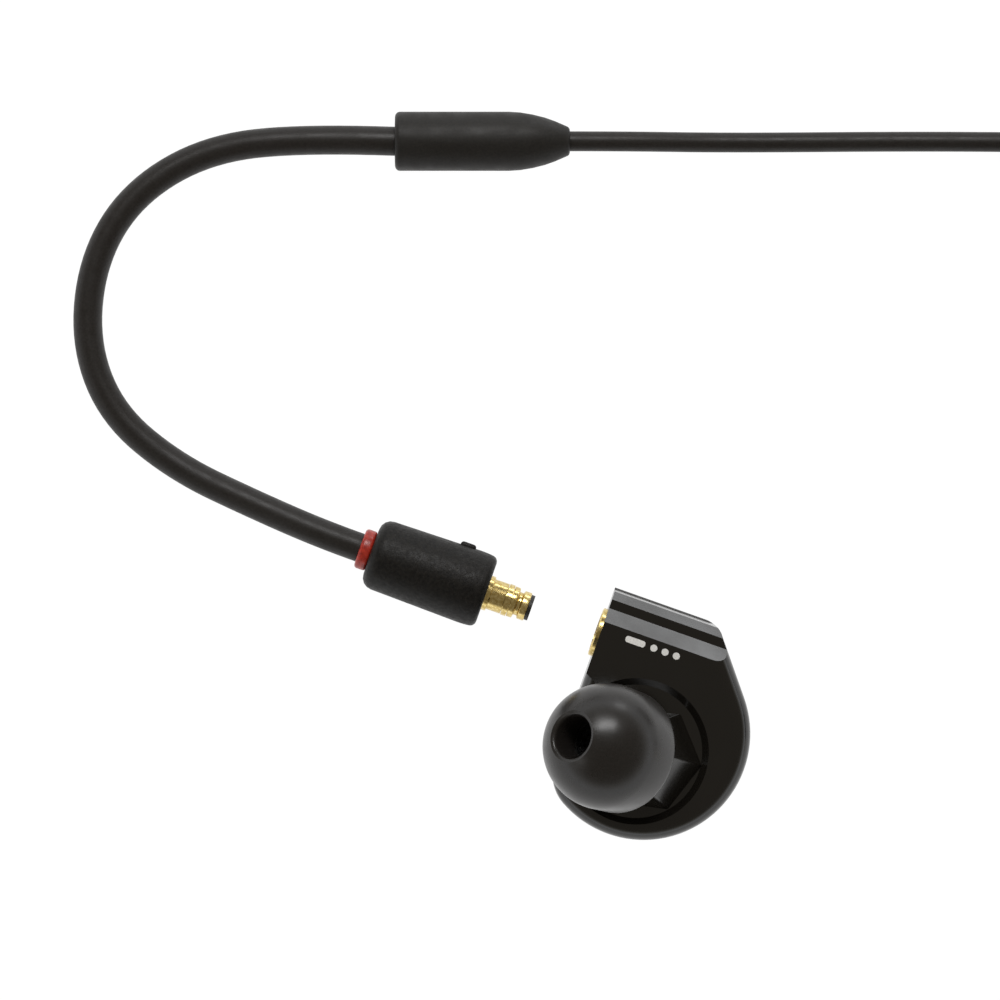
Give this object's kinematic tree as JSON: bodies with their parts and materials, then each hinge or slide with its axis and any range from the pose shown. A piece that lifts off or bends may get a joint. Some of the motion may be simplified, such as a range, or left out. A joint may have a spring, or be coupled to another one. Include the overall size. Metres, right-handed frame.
{
  "type": "in-ear monitor",
  "caption": "Right-ear in-ear monitor: round housing with a silicone tip on an angled nozzle, a coaxial socket, and a detachable over-ear cable with a stereo plug.",
  "frame": {"origin": "centre of the round body on the rear cover's flat outer face, which lies on the table", "axes": "+Z out of the cover face's back, towards the ear; +Y towards the neck's top, along the housing's longest side"},
  "size_m": [0.1231, 0.0784, 0.0194],
  "materials": {
    "shell": "glossy moulded black",
    "cover": "glossy moulded black",
    "tip": "satin black silicone",
    "gold": "gold plated",
    "barrel": "satin black, fine spark texture",
    "insulator": "black moulding",
    "ring": "red",
    "cord": "satin black jacket",
    "sleeve": "satin black moulding",
    "spring": "spring steel",
    "steel": "plated steel",
    "magnet": "nickel plated",
    "copper": "enamelled copper",
    "film": "clear polymer film",
    "frame": "black moulding",
    "board": "green circuit board",
    "felt": "damping felt",
    "screen": "woven wire",
    "nozzle": "black moulding",
    "strap": "black woven strap"
  },
  "bodies": {
    "cable": {"plug_barrel": "barrel", "plug_outer_contact": "gold", "plug_insulator": "insulator", "plug_centre_contact": "gold", "plug_core": "insulator", "side_ring": "ring", "ear_loop": "cord", "memory_wire": "spring", "cable_sleeve": "sleeve", "cable_lead": "cord", "cable_coil": "cord", "coil_tie": "strap", "cable_tail": "cord", "jack_strain_relief": "sleeve", "jack_grip": "barrel", "jack_sleeve_contact": "gold", "jack_insulators": "insulator", "jack_ring_contact": "gold", "jack_tip_contact": "gold"},
    "snap_ring": {"snap_ring": "gold"},
    "earpiece": {"front_shell": "shell", "rear_cover": "cover", "vent_screen": "screen", "nozzle_tube": "nozzle", "nozzle_mesh": "screen", "acoustic_damper": "felt", "driver_yoke": "steel", "driver_magnet": "magnet", "driver_top_plate": "steel", "driver_frame": "frame", "driver_front_grille": "steel", "driver_gasket": "felt", "driver_rear_damper": "felt", "driver_terminal_board": "board", "socket_shell": "gold", "socket_insulator": "insulator", "socket_centre_pin": "gold", "socket_clip": "spring", "lead_wire_signal": "copper", "lead_wire_ground": "copper"},
    "diaphragm": {"diaphragm": "film", "voice_coil": "copper"},
    "ear_tip": {"ear_tip": "tip"}
  },
  "joints": [
    {"name": "connector_swivel", "type": "hinge", "parent": "cable", "child": "snap_ring", "pos_m": [-0.01271, 0.01235, 0.00355], "axis": [0.9426, -0.3338, 0], "continuous": true},
    {"name": "connector_plug_in", "type": "slide", "parent": "snap_ring", "child": "earpiece", "axis": [-0.9426, 0.3338, 0], "range_m": [0, 0.011]},
    {"name": "ear_tip_pull", "type": "slide", "parent": "earpiece", "child": "ear_tip", "axis": [-0.6014, 0.2071, 0.7716], "range_m": [0, 0.007]},
    {"name": "diaphragm_stroke", "type": "slide", "parent": "earpiece", "child": "diaphragm", "axis": [0, 0, 1], "range_m": [-0.00012, 0.00012], "stiffness_N_per_m": 100}
  ]
}
